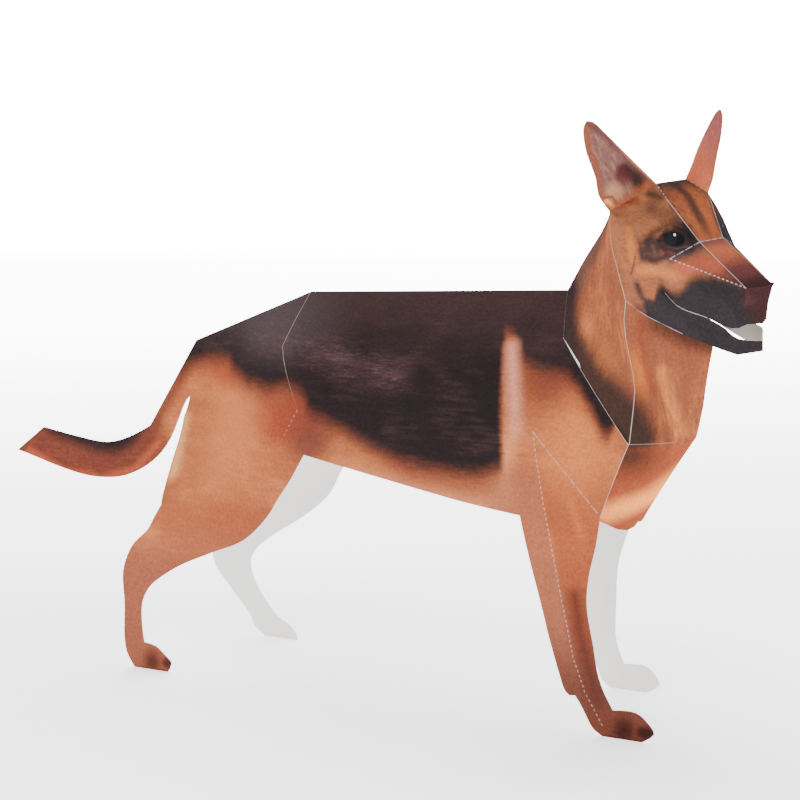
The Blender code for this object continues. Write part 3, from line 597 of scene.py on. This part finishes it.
EYE_SHADE = [(116.6, 157.8), (121.0, 157.6), (127.0, 157.0), (131.0, 157.9)]
UPPER_LID = [(120.2, 159.2), (122.7, 161.6), (126.4, 162.6), (129.9, 162.0), (131.8, 159.9)]
LOWER_LID = [(123.0, 157.2), (126.3, 156.6), (130.1, 157.6)]
MASK_MARKS = [
    ("shade of the brow", (92, 62, 52), BROW_SHADE, 1.2, 3.6, 0.85),
    ("shade under the eye", (66, 52, 60), UNDER_EYE, 1.2, 2.4, 0.9),
    ("shade round the eye", (70, 58, 58), EYE_SHADE, 2.0, 2.0, 0.92),
    ("dark inner brow", (56, 48, 44), [(129.5, 162.6), (133.4, 160.2)], 2.4, 2.4, 0.9),
    ("shade behind the eye", (80, 62, 62), [(115.6, 155.8), (118.8, 155.8)], 1.8, 2.6, 0.85),
    ("inner corner", (66, 54, 54), [(129.4, 161.4), (131.8, 159.6)], 1.6, 2.4, 0.85),
    ("pink behind the eye", (138, 98, 94), [(117.4, 157.0), (118.6, 154.8)], 0.5, 1.8, 0.75),
    ("dark hair on the cheek", (56, 36, 32), [(111.2, 153.4), (110.5, 151.2), (109.2, 148.2)], 0.2, 0.8, 0.7),
    ("upper lid", (50, 42, 44), UPPER_LID, 0.8, 1.6, 0.92),
]
LID_MARKS = [("lower lid", (112, 104, 120), LOWER_LID, 0.16, 0.45, 0.75)]
MUZZLE_EDGE = [
    (105.0, 134.0), (110.0, 136.6), (114.0, 138.2), (117.2, 139.6), (119.2, 144.2), (120.8, 145.2),
    (123.2, 143.4), (126.4, 143.2), (129.2, 145.2), (132.2, 147.6), (137.3, 148.6), (144.0, 148.2),
    (150.5, 147.0), (160.0, 147.0),
]
JAW_ARC = [(111.3, 144.8), (112.8, 141.6), (116.6, 137.4), (123.0, 134.4), (132.0, 131.0)]
JAW_MARKS = [
    ("arc behind the mouth", (70, 60, 66), JAW_ARC, 1.2, 3.0, 0.92),
    ("dark jaw", (70, 62, 66), [(116.0, 139.0), (121.0, 137.2), (128.0, 134.0)], 1.8, 2.6, 0.92),
    ("brown under the arc", (150, 92, 78), [(109.4, 139.6), (113.8, 136.6)], 0.6, 2.2, 0.7),
    ("orange by the mouth", (196, 116, 74), [(116.0, 144.4), (117.0, 141.4)], 0.4, 2.2, 0.7),
    ("corner of the mouth", (40, 38, 44), [(121.0, 143.4), (123.6, 141.4)], 1.0, 1.6, 0.8),
]
STRIP_HALF = [(88.0, 0.5), CROWN_BACK[:2], CROWN[:2], BROW[:2], MUZZLE_END[:2], (152.0, 6.5)]
JAW_CREASE = [JAW_CORNER, (115.4, 12.5, 135.2), (126.3, 10.0, 130.5)]


def head_finish(inks, sizes):
    """The face, laid out as it is seen from ahead of the cheek."""
    finish = Finish("printed_head", 0.45)
    pattern = finish.place("pattern")
    x, y, z = finish.parts(pattern)
    wide = finish.sum("ABSOLUTE", y)
    u = x - (wide - 12.0) * 0.72
    v = z - (wide - 12.0) * 0.16
    flat = finish.point(u, v)
    broad = finish.noise(pattern, (7.0, 7.0, 7.0), 3.0)
    streak = finish.noise(pattern, (3.0, 2.0, 1.2), 4.0, 0.6)
    hair = finish.noise(pattern, (1.1, 1.0, 0.5), 3.0, 0.7)
    ragged = streak * 1.6 + hair * 1.0

    def patches(base, table):
        for label, level, points, half, soft, share in table:
            away = finish.off_line(flat, points) + ragged * min(soft, 1.4) * 0.6
            cover = finish.rise(away, half + soft / 2.0, half - soft / 2.0) * share
            base = finish.mix(base, ink(*level), cover, label)
        return base

    # Cheek and forehead
    base = finish.mix(tuple(inks.cheek), ink(192, 143, 107), finish.rise(broad + streak, -0.1, 0.45) * 0.8)
    base = finish.mix(base, ink(142, 88, 64), finish.rise(streak - broad, 0.0, 0.45) * 0.75)
    base = patches(base, CHEEK_MARKS)

    # The dark mask and the eye
    base = patches(base, MASK_MARKS)
    eyeball = finish.spot(flat, (125.4, 159.6), (4.1, 2.3), 0.2)
    base = finish.mix(base, tuple(inks.eye), eyeball)
    iris = finish.spot(flat, (124.2, 159.2), (2.1, 1.8), 0.4)
    base = finish.mix(base, ink(58, 58, 66), iris * eyeball * 0.6)
    base = patches(base, LID_MARKS)
    base = finish.mix(base, ink(250, 250, 250), finish.spot(flat, (125.6, 160.8), (0.42, 0.4), 0.3))

    # The dark muzzle, lips and jaw
    edge = finish.curve(u, MUZZLE_EDGE, MUZZLE_EDGE[0][0], MUZZLE_EDGE[-1][0])
    below = edge - v + ragged
    base = finish.mix(base, ink(104, 70, 62), finish.rise(below, -3.0, 0.5) * 0.7)
    base = finish.mix(base, tuple(inks.mask), finish.rise(below, -1.4, 2.0) * 0.97)
    base = patches(base, JAW_MARKS)
    reds = finish.noise(pattern, (2.5, 2.5, 2.0), 2.0)
    reds = finish.rise(reds, 0.12, 0.4) * finish.rise(u, 138.0, 146.0) * finish.rise(v, 134.0, 137.0)
    base = finish.mix(base, ink(98, 58, 54), reds * 0.5)
    far_side = finish.rise(y, 6.0, 7.0) * finish.rise(v, 151.0, 154.0) * finish.rise(u, 117.0, 121.0)
    base = finish.mix(base, ink(72, 64, 64), far_side * 0.85)
    pad = finish.rise(u * 0.94 + v * 0.34 + ragged, 187.0, 194.5) * finish.rise(v + ragged, 133.0, 138.0)
    base = finish.mix(base, tuple(inks.nose), pad * 0.95)
    base = finish.mix(base, ink(20, 12, 14), finish.spot(flat, (154.2, 142.8), (1.7, 1.3), 0.4))

    # The strip over the forehead and the top of the muzzle
    half = finish.curve(x, STRIP_HALF, STRIP_HALF[0][0], STRIP_HALF[-1][0])
    strip = finish.rise(wide - half, 0.12, 0.02) * finish.rise(x, 115.0, 115.6) * finish.rise(z, 139.0, 141.0)
    brow = finish.mix(ink(194, 132, 98), ink(168, 106, 78), finish.rise(streak + broad, -0.2, 0.3))
    centre = finish.rise(wide + ragged * 0.7, 3.6, 0.4) * finish.rise(x + ragged, 131.5, 126.0)
    brow = finish.mix(brow, ink(92, 68, 60), centre * 0.85)
    rim = finish.rise(wide - half + ragged, -2.2, -0.4) * finish.rise(x, 131.0, 127.0)
    brow = finish.mix(brow, ink(92, 66, 54), rim * 0.6)
    brow = finish.mix(brow, ink(78, 66, 62), finish.rise(x + ragged * 0.5, 122.5, 116.0) * 0.88)
    muzzle = finish.mix(tuple(inks.snout), ink(136, 86, 82), finish.rise(x + ragged, 134.0, 141.5))
    muzzle = finish.mix(muzzle, ink(98, 60, 66), finish.rise(x + ragged, 142.0, 146.0))
    muzzle = finish.mix(muzzle, ink(112, 88, 92), finish.rise(x + ragged, 134.0, 130.4) * 0.7)
    brow = finish.mix(brow, muzzle, finish.rise(x, 129.8, 130.8))
    base = finish.mix(base, brow, strip)
    ahead = finish.rise(x + z * 0.2 + ragged * 0.5, 175.0, 177.6) * finish.rise(z, 136.0, 139.0)
    base = finish.mix(base, tuple(inks.nose), ahead * 0.9)

    # Scored, dashed and dotted lines
    width = sizes.crease
    folded = finish.point(x, wide, z)
    solid = finish.off_line(folded, [CROWN, BROW, MUZZLE_END])
    marks = finish.rise(solid, width * 0.75, width * 0.3) * 0.85
    marks = marks.most(finish.dashes(folded, [CROWN_BACK, CROWN], width, sizes.dash, 0.55) * 0.7)
    low_fold = finish.dashes(folded, [CHEEK_APEX, MUZZLE_END], width * 1.2, sizes.dash * 0.8, 0.5)
    marks = marks.most(low_fold * 0.95)
    marks = marks.most(finish.dashes(folded, [CHEEK_APEX, BROW], width, sizes.dash * 2.0, 0.6, True) * 0.9)
    over = [(BROW[0], -BROW[1], BROW[2]), BROW]
    marks = marks.most(finish.dashes(pattern, over, width, sizes.dash * 2.0, 0.6, True) * 0.9)
    marks = marks.most(finish.rise(finish.off_line(folded, NECK_CREASE), width * 0.75, width * 0.3) * 0.7)
    jaw = finish.off_line(folded, JAW_CREASE)
    marks = marks.most(finish.rise(jaw, width * 0.9, width * 0.3) * 0.6)
    base = finish.mix(base, tuple(inks.line), marks)
    finish.paint(base, hair + streak, 0.05, 0.9)
    return finish.material


# Marks of the ear, along its base and up from it
EAR_HIND = [(-0.6, 2.0), (-1.1, 6.9), (0.4, 12.0), (1.4, 22.0), (3.6, 28.6), (6.0, 28.0)]
EAR_FORE = [(6.0, 29.0), (9.3, 22.0), (13.1, 10.2), (16.8, 0.0)]
EAR_FOOT = [(0.0, 0.0), (16.8, 0.0)]
EAR_MARKS = [
    ("dark opening", (58, 42, 38), [(9.6, 9.0), (11.6, 5.4), (12.0, 2.6)], 2.0, 2.6, 0.92),
    ("red hollow", (112, 52, 56), (8.2, 7.6), (2.2, 3.0), 0.6, 0.8),
    ("light hollow", (198, 166, 142), (3.6, 4.4), (2.8, 3.2), 0.6, 0.7),
    ("cream lobe", (232, 186, 160), [(0.4, 3.6), (1.6, 0.8)], 0.7, 1.0, 0.8),
    ("rust round the lobe", (168, 82, 46), [(0.6, 4.8), (2.6, 3.8), (3.2, 0.6)], 0.4, 0.7, 0.8),
]


def ear_finish(inks, sizes):
    """The hollow of the near ear and the blush of the far one."""
    finish = Finish("printed_ear", 0.5)
    pattern = finish.place("ear")
    u, w, side = finish.parts(pattern)
    flat = finish.point(u, w)
    streak = finish.noise(pattern, (1.0, 4.5, 4.0), 4.0, 0.65)
    hair = finish.noise(pattern, (0.5, 1.6, 2.0), 3.0, 0.7)
    ragged = streak * 2.0 + hair
    base = finish.mix(tuple(inks.ear), ink(196, 160, 150), finish.rise(streak, -0.05, 0.35) * 0.7)
    base = finish.mix(base, ink(118, 76, 80), finish.rise(hair - streak, 0.0, 0.4) * 0.6)
    hind = finish.off_line(flat, EAR_HIND)
    base = finish.mix(base, ink(176, 112, 86), finish.rise(hind + ragged * 0.5, 3.2, 0.6) * 0.85)
    fore = finish.off_line(flat, EAR_FORE)
    base = finish.mix(base, ink(128, 84, 78), finish.rise(fore + ragged * 0.4, 2.6, 1.2) * 0.7)
    rim = finish.rise(fore, 0.9, 0.5) * finish.rise(w, 18.0, 12.0)
    base = finish.mix(base, ink(196, 150, 124), rim * 0.6)
    base = finish.marks(base, flat, EAR_MARKS)
    base = finish.mix(base, ink(190, 120, 78), finish.rise(w + ragged, 3.4, 0.6) * 0.7)
    far = finish.rise(side, -0.2, 0.2)
    blush = finish.mix(ink(204, 132, 106), ink(176, 114, 112), finish.rise(w, 4.0, 24.0))
    base = finish.mix(base, blush, far * 0.85)
    width = sizes.crease
    foot = finish.stroke(flat, EAR_FOOT, width * 0.4, width * 0.6)
    base = finish.mix(base, LINE, foot * (0.3 + far * 0.6))
    finish.paint(base, hair + streak, 0.05, 0.9)
    return finish.material


def bare_finish(name, level, roughness):
    """Unprinted card, with faint fibres."""
    finish = Finish(name, roughness)
    place = finish.place("pattern")
    fibre = finish.noise(place, (1.4, 1.4, 0.5), 4.0, 0.7)
    cloud = finish.noise(place, (14.0, 14.0, 14.0), 2.0)
    shade = (*(value * 0.93 for value in level), 1.0)
    base = finish.mix((*level, 1.0), shade, finish.rise(fibre + cloud, -0.2, 0.4))
    x, _, z = finish.parts(place)
    mouth = finish.rise(x, 122.0, 128.0) * finish.rise(z, 143.0, 141.0)
    base = finish.mix(base, MOUTH_SHADE, mouth * 0.9)
    finish.paint(base, fibre, 0.05)
    return finish.material


def smooth(t):
    t = min(max(t, 0.0), 1.0)
    return t * t * (3.0 - 2.0 * t)


def turn_share(point):
    """How much of the head's turn a place takes part in."""
    lean = math.atan2(SHOULDER_POINT[0] - WITHERS[0], WITHERS[1] - SHOULDER_POINT[1])
    above = (point.x - WITHERS[0]) * math.cos(lean) + (point.z - WITHERS[1]) * math.sin(lean)
    return smooth((above - TURN_START) / TURN_SPAN)


def straightened(point):
    """Where a place lay on the pattern before the head was turned."""
    found = point.copy()
    for _ in range(24):
        share = turn_share(found)
        turn, tilt = HEAD_TURN * share, HEAD_TILT * share
        off = point - HEAD_CENTRE
        ahead = off.x * math.cos(turn) - off.y * math.sin(turn)
        wide = off.x * math.sin(turn) + off.y * math.cos(turn)
        found = Vector((HEAD_CENTRE.x + ahead, wide * math.cos(tilt) + off.z * math.sin(tilt),
                        HEAD_CENTRE.z + off.z * math.cos(tilt) - wide * math.sin(tilt)))
    return found


def on_pattern(point):
    """A place of the standing dog as a place on the pattern, with the far legs' steps taken back."""
    found = straightened(point * MM + SHIFT)
    if found.y > FAR_SIDE and found.z < FORE_TOP:
        if found.x > FORE_FROM:
            found.x += FORE_STEP * (1.0 - found.z / FORE_TOP)
        elif found.z < HIND_TOP and found.x > TAIL_TO:
            found.x -= HIND_STEP * smooth(1.0 - found.z / HIND_TOP)
    return found


def ear_place(point):
    """A place's distance along an ear's base and above it, and which ear it is on."""
    start, end, tip = EAR_NEAR if point.y < 0.0 else EAR_FAR
    along = (end - start).normalized()
    outward = along.cross(tip - start).normalized()
    rise = outward.cross(along)
    if rise.z < 0.0:
        rise.negate()
    off = point - start
    scale = (EAR_NEAR[1] - EAR_NEAR[0]).length / (end - start).length
    return Vector((off.dot(along) * scale, off.dot(rise), 1.0 if point.y > 0.0 else -1.0))


# The lowest face that isn't part of the card's cut rim, in metres
RIM_HEIGHT = 0.0006
# How near a place lies to a line of the pattern to be on it, in millimetres
EDGE_REACH = 0.5
# The least cosine of the bend between two narrow faces on one side of the card
SAME_SIDE = 0.64
# Half the stretch of the trunk in which the card's two sides are looked for, in metres
TRUNK_HALF = 0.04
# A bend sharper than this is a crease and isn't smoothed
SHARP = math.radians(24.0)


def narrowness(face):
    """The least height of a three-sided face."""
    longest = max(edge.calc_length() for edge in face.edges)
    return 2.0 * face.calc_area() / longest


def on_rim(face):
    """Whether a face is as low as the card's cut rim."""
    return narrowness(face) < RIM_HEIGHT


def grow(start, label, labels):
    """Give a label to every face that the sheet's surface joins to the first one."""
    labels[start] = label
    waiting = [start]
    while waiting:
        face = waiting.pop()
        for edge in face.edges:
            for other in edge.link_faces:
                if other in labels:
                    continue
                wide = not on_rim(other) and not on_rim(face)
                if wide or other.normal.dot(face.normal) > SAME_SIDE:
                    labels[other] = label
                    waiting.append(other)


def sheet_sides(mesh):
    """Which faces are the printed outside, which the bare inside and which the cut rim."""
    labels = {}
    back = [face for face in mesh.faces if abs(face.calc_center_median().x) < TRUNK_HALF and not on_rim(face)]
    outer = max(back, key=lambda face: face.calc_center_median().y)
    inner = min(back, key=lambda face: face.normal.z)
    grow(outer, OUTSIDE, labels)
    if inner in labels:
        raise RuntimeError("the inside of the card joins its outside")
    grow(inner, INSIDE, labels)
    for face in mesh.faces:
        labels.setdefault(face, RIM)
    return labels


def from_line(point, line):
    """How far a place lies from a line in the side view."""
    here = Vector((point.x, point.z))
    found = []
    for start, end in zip(line, line[1:]):
        start, way = Vector(start), Vector(end) - Vector(start)
        share = min(max((here - start).dot(way) / way.length_squared, 0.0), 1.0)
        found.append((here - start - way * share).length)
    return min(found)


def side_points(points):
    return [(point[0], point[2]) for point in points]


def panel_edges():
    """The lines of the side view where one printed panel ends and the next begins."""
    lines = [[WITHERS, BEND_FOOT], [NAPE, *side_points(NECK_CREASE)]]
    return lines + [side_points(ear[:2]) for ear in (EAR_NEAR, EAR_FAR)]


def panels(mesh, sides, place):
    """Each face of the printed side with the material of its panel."""
    lines = panel_edges()
    on_edge = {vert: {i for i, line in enumerate(lines) if from_line(place[vert], line) < EDGE_REACH}
               for vert in mesh.verts}
    found = {}
    for first in mesh.faces:
        if sides[first] != OUTSIDE or first in found:
            continue
        group = [first]
        found[first] = COAT
        for face in group:
            for edge in face.edges:
                if on_edge[edge.verts[0]] & on_edge[edge.verts[1]]:
                    continue
                for other in edge.link_faces:
                    if sides[other] == OUTSIDE and other not in found:
                        found[other] = COAT
                        group.append(other)
        spots = [place[vert] for face in group for vert in face.verts]
        middle = sum(spots, Vector()) / len(spots)
        kind = NECK
        if min(spot.x for spot in spots) < COAT_BEHIND:
            kind = COAT
        elif max(spot.x for spot in spots) > HEAD_AHEAD:
            kind = HEAD
        elif middle.z > EAR_ABOVE:
            kind = EAR
        for face in group:
            found[face] = kind
    return found


def dressed_sheet():
    """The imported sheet's surface with its panels told apart and its pattern laid on."""
    mesh = bmesh.new()
    mesh.from_mesh(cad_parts[NODE].data)
    pattern = mesh.verts.layers.float_vector.new("pattern")
    ear = mesh.verts.layers.float_vector.new("ear")
    bmesh.ops.remove_doubles(mesh, verts=mesh.verts, dist=1e-6)
    bmesh.ops.triangulate(mesh, faces=mesh.faces)
    mesh.normal_update()
    sides = sheet_sides(mesh)
    place = {vert: on_pattern(vert.co) for vert in mesh.verts}
    panel = panels(mesh, sides, place)
    for vert in mesh.verts:
        vert[pattern] = place[vert]
        vert[ear] = ear_place(place[vert])
    for face in mesh.faces:
        side = sides[face]
        face.smooth = side != RIM
        face.material_index = panel.get(face, BARE if side == INSIDE else CUT)
    for edge in mesh.edges:
        faces = edge.link_faces
        edge.smooth = (len(faces) == 2 and sides[faces[0]] == sides[faces[1]]
                       and edge.calc_face_angle() < SHARP)
    data = bpy.data.meshes.new("printed_sheet")
    mesh.to_mesh(data)
    mesh.free()
    return data


class CARDDOG_OT_sheet(Operator):
    """Lay the printed coat on the folded sheet"""
    bl_idname = "carddog.sheet"
    bl_label = "Printed sheet"

    def execute(self, context):
        scene = context.scene
        inks, face, sizes = scene.dog_coat, scene.dog_face, scene.dog_sizes
        data = dressed_sheet()
        for material in (coat_finish(inks, sizes), neck_finish(inks, sizes), head_finish(face, sizes),
                         ear_finish(face, sizes), bare_finish("bare_card", BARE_CARD, 0.7),
                         bare_finish("shaded_cut_edge", SHADED_CUT_EDGE, 0.8)):
            data.materials.append(material)
        piece = bpy.data.objects.new("printed_sheet", data)
        scene.collection.objects.link(piece)
        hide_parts(NODE)
        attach(piece, "root")
        return {"FINISHED"}


class CARDDOG_OT_stage(Operator):
    """Set the pale floor, the soft lights and the camera"""
    bl_idname = "carddog.stage"
    bl_label = "Stage"

    def execute(self, context):
        scene = context.scene
        sizes = scene.dog_sizes
        half = sizes.floor
        floor = self.sheet(scene, "floor", [(-half, -half, 0.0), (half, -half, 0.0), (half, half, 0.0),
                                            (-half, half, 0.0)])
        wall = self.sheet(scene, "backdrop", [(-half, half, 0.0), (half, half, 0.0), (half, half, half * 0.3),
                                              (-half, half, half * 0.3)])
        world = bpy.data.worlds.new("white_room")
        world.use_nodes = True
        world.node_tree.nodes["Background"].inputs["Color"].default_value = (1.0, 1.0, 1.0, 1.0)
        world.node_tree.nodes["Background"].inputs["Strength"].default_value = ROOM_LIGHT
        scene.world = world
        for name, place, side, power in LAMPS:
            self.light(scene, name, place, side, power)
        self.camera(scene, sizes)
        return {"FINISHED"}

    def sheet(self, scene, name, outline):
        """A white sheet that glows more the further it lies behind the dog, and a little less under it, where
        the dimmer glow is a painted shadow.
        """
        mesh = bpy.data.meshes.new(name)
        mesh.from_pydata(outline, [], [(0, 1, 2, 3)])
        spot = mesh.attributes.new("spot", "FLOAT_VECTOR", "POINT")
        for item, corner in zip(spot.data, outline):
            item.vector = corner
        paper = Finish(name + "_white", 0.9)
        paper.shader.inputs["Base Color"].default_value = WHITE
        x, y, z = paper.parts(paper.place("spot"))
        behind = y - x * 0.45
        level = paper.rise(behind, 0.1, 1.5) * 0.8 + paper.rise(behind + z, 2.0, 2.9) * 0.6 + 0.2
        # Painted shadow: a dimmer pool of glow on the floor under the dog
        shadow_pool = paper.spot(paper.point(x, y), SHADOW_POOL_PLACE, SHADOW_POOL_RADII, 0.5)
        level = level - shadow_pool * 0.08
        paper.join(paper.point(level, level, level), paper.shader.inputs["Emission Color"])
        paper.shader.inputs["Emission Strength"].default_value = FLOOR_GLOW
        mesh.materials.append(paper.material)
        thing = bpy.data.objects.new(name, mesh)
        scene.collection.objects.link(thing)
        return thing

    def light(self, scene, name, place, side, power):
        lamp = bpy.data.lights.new(name, "AREA")
        lamp.shape = "SQUARE"
        lamp.size = side
        lamp.energy = power
        thing = bpy.data.objects.new(name, lamp)
        thing.location = place
        thing.rotation_euler = (LAMP_AIM - Vector(place)).to_track_quat("-Z", "Y").to_euler()
        scene.collection.objects.link(thing)

    def camera(self, scene, sizes):
        lens = bpy.data.cameras.new("view")
        lens.sensor_width = 36.0
        lens.lens = sizes.lens
        eye = bpy.data.objects.new("view", lens)
        turn, dip = CAMERA_TURN, CAMERA_DIP
        ahead = Vector((-math.sin(turn) * math.cos(dip), math.cos(turn) * math.cos(dip), -math.sin(dip)))
        right = Vector((math.cos(turn), math.sin(turn), 0.0))
        spin = Matrix((right, right.cross(ahead), -ahead)).transposed().to_4x4()
        place = (CAMERA_PLACE - SHIFT) / MM
        eye.matrix_world = Matrix.Translation(place) @ spin
        scene.collection.objects.link(eye)
        scene.camera = eye


class CARDDOG_PT_panel(Panel):
    """The pieces of the card dog"""
    bl_idname = "CARDDOG_PT_panel"
    bl_label = "Card Dog"
    bl_space_type = "VIEW_3D"
    bl_region_type = "UI"
    bl_category = "Card Dog"

    def draw(self, context):
        layout = self.layout
        for group in (context.scene.dog_coat, context.scene.dog_face, context.scene.dog_sizes):
            for key in group.__annotations__:
                layout.prop(group, key)
        layout.operator(CARDDOG_OT_sheet.bl_idname)
        layout.operator(CARDDOG_OT_stage.bl_idname)


CLASSES = (CoatInks, FaceInks, CardSizes, CARDDOG_OT_sheet, CARDDOG_OT_stage, CARDDOG_PT_panel)


def register():
    for made in CLASSES:
        bpy.utils.register_class(made)
    bpy.types.Scene.dog_coat = PointerProperty(type=CoatInks)
    bpy.types.Scene.dog_face = PointerProperty(type=FaceInks)
    bpy.types.Scene.dog_sizes = PointerProperty(type=CardSizes)


def unregister():
    for key in ("dog_coat", "dog_face", "dog_sizes"):
        delattr(bpy.types.Scene, key)
    for made in reversed(CLASSES):
        bpy.utils.unregister_class(made)


def main():
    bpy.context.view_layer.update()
    register()
    bpy.ops.carddog.sheet()
    bpy.ops.carddog.stage()


if __name__ == "__main__":
    main()
